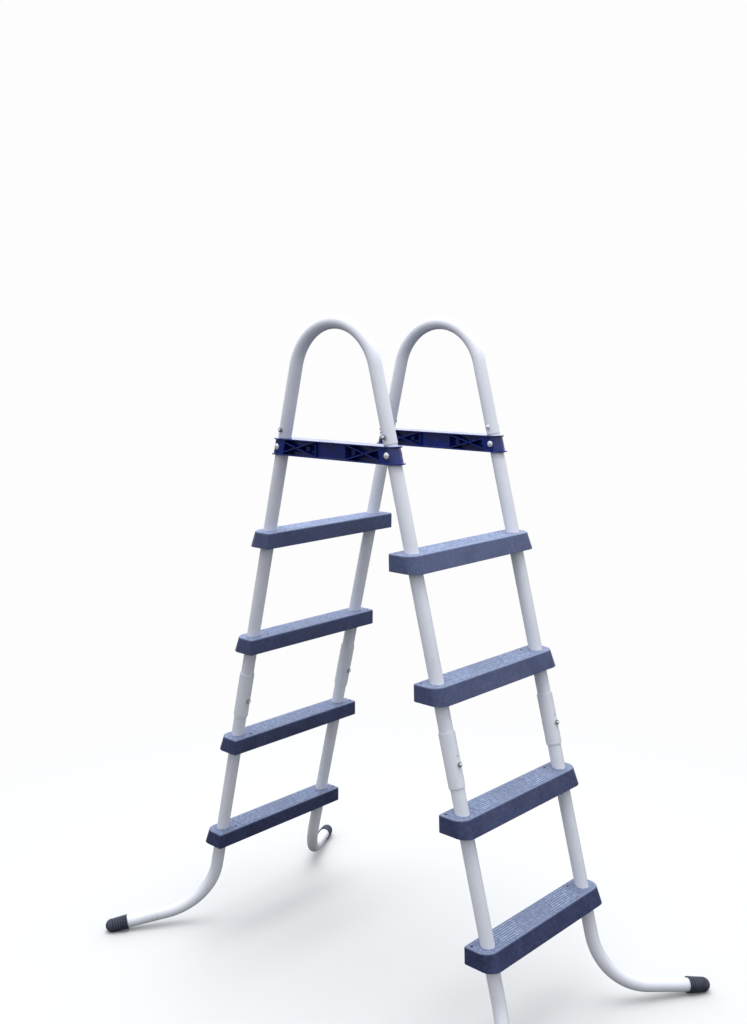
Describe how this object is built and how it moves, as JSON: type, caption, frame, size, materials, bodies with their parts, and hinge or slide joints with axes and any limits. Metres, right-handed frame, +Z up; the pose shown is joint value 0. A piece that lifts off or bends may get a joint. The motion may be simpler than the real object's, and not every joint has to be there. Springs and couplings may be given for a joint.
{
  "type": "pool ladder",
  "caption": "Freestanding A-frame ladder for an above-ground pool, with arched tube handrails, moulded treads, side brackets and splayed feet with ringed caps.",
  "frame": {"origin": "on the ground, below the middle of the frame", "axes": "+Z up, +Y along the treads from the front side to the rear side, +X from the left ladder to the right ladder"},
  "size_m": [1.3518, 0.8544, 1.6448],
  "materials": {
    "white_paint": "smooth, slightly glossy white powder coat on steel tube",
    "tread_plastic": "satin dusty blue moulding with a textured top",
    "bracket_plastic": "glossy navy moulding",
    "foot_rubber": "matt dark grey rubber",
    "zinc_hardware": "bright zinc plate"
  },
  "bodies": {
    "root": {"bracket_bolt_left_front": "zinc_hardware", "bracket_bolt_left_rear": "zinc_hardware", "bracket_bolt_right_front": "zinc_hardware", "bracket_bolt_right_rear": "zinc_hardware", "bracket_nut_left_front": "zinc_hardware", "bracket_nut_left_rear": "zinc_hardware", "bracket_nut_right_front": "zinc_hardware", "bracket_nut_right_rear": "zinc_hardware", "foot_cap_left_front": "foot_rubber", "foot_cap_left_rear": "foot_rubber", "foot_cap_right_front": "foot_rubber", "foot_cap_right_rear": "foot_rubber", "handrail_bolt_left_front": "zinc_hardware", "handrail_bolt_left_rear": "zinc_hardware", "handrail_bolt_right_front": "zinc_hardware", "handrail_bolt_right_rear": "zinc_hardware", "handrail_front": "white_paint", "handrail_nut_left_front": "zinc_hardware", "handrail_nut_left_rear": "zinc_hardware", "handrail_nut_right_front": "zinc_hardware", "handrail_nut_right_rear": "zinc_hardware", "handrail_rear": "white_paint", "lower_leg_left_front": "white_paint", "lower_leg_left_rear": "white_paint", "lower_leg_right_front": "white_paint", "lower_leg_right_rear": "white_paint", "side_bracket_front": "bracket_plastic", "side_bracket_rear": "bracket_plastic", "splice_bolt_left_front": "zinc_hardware", "splice_bolt_left_rear": "zinc_hardware", "splice_bolt_right_front": "zinc_hardware", "splice_bolt_right_rear": "zinc_hardware", "splice_nut_left_front": "zinc_hardware", "splice_nut_left_rear": "zinc_hardware", "splice_nut_right_front": "zinc_hardware", "splice_nut_right_rear": "zinc_hardware", "splice_sleeve_left_front": "white_paint", "splice_sleeve_left_rear": "white_paint", "splice_sleeve_right_front": "white_paint", "splice_sleeve_right_rear": "white_paint", "tread_left_1": "tread_plastic", "tread_left_2": "tread_plastic", "tread_left_3": "tread_plastic", "tread_left_4": "tread_plastic", "tread_right_1": "tread_plastic", "tread_right_2": "tread_plastic", "tread_right_3": "tread_plastic", "tread_right_4": "tread_plastic", "upper_rail_left_front": "white_paint", "upper_rail_left_rear": "white_paint", "upper_rail_right_front": "white_paint", "upper_rail_right_rear": "white_paint"}
  },
  "joints": []
}
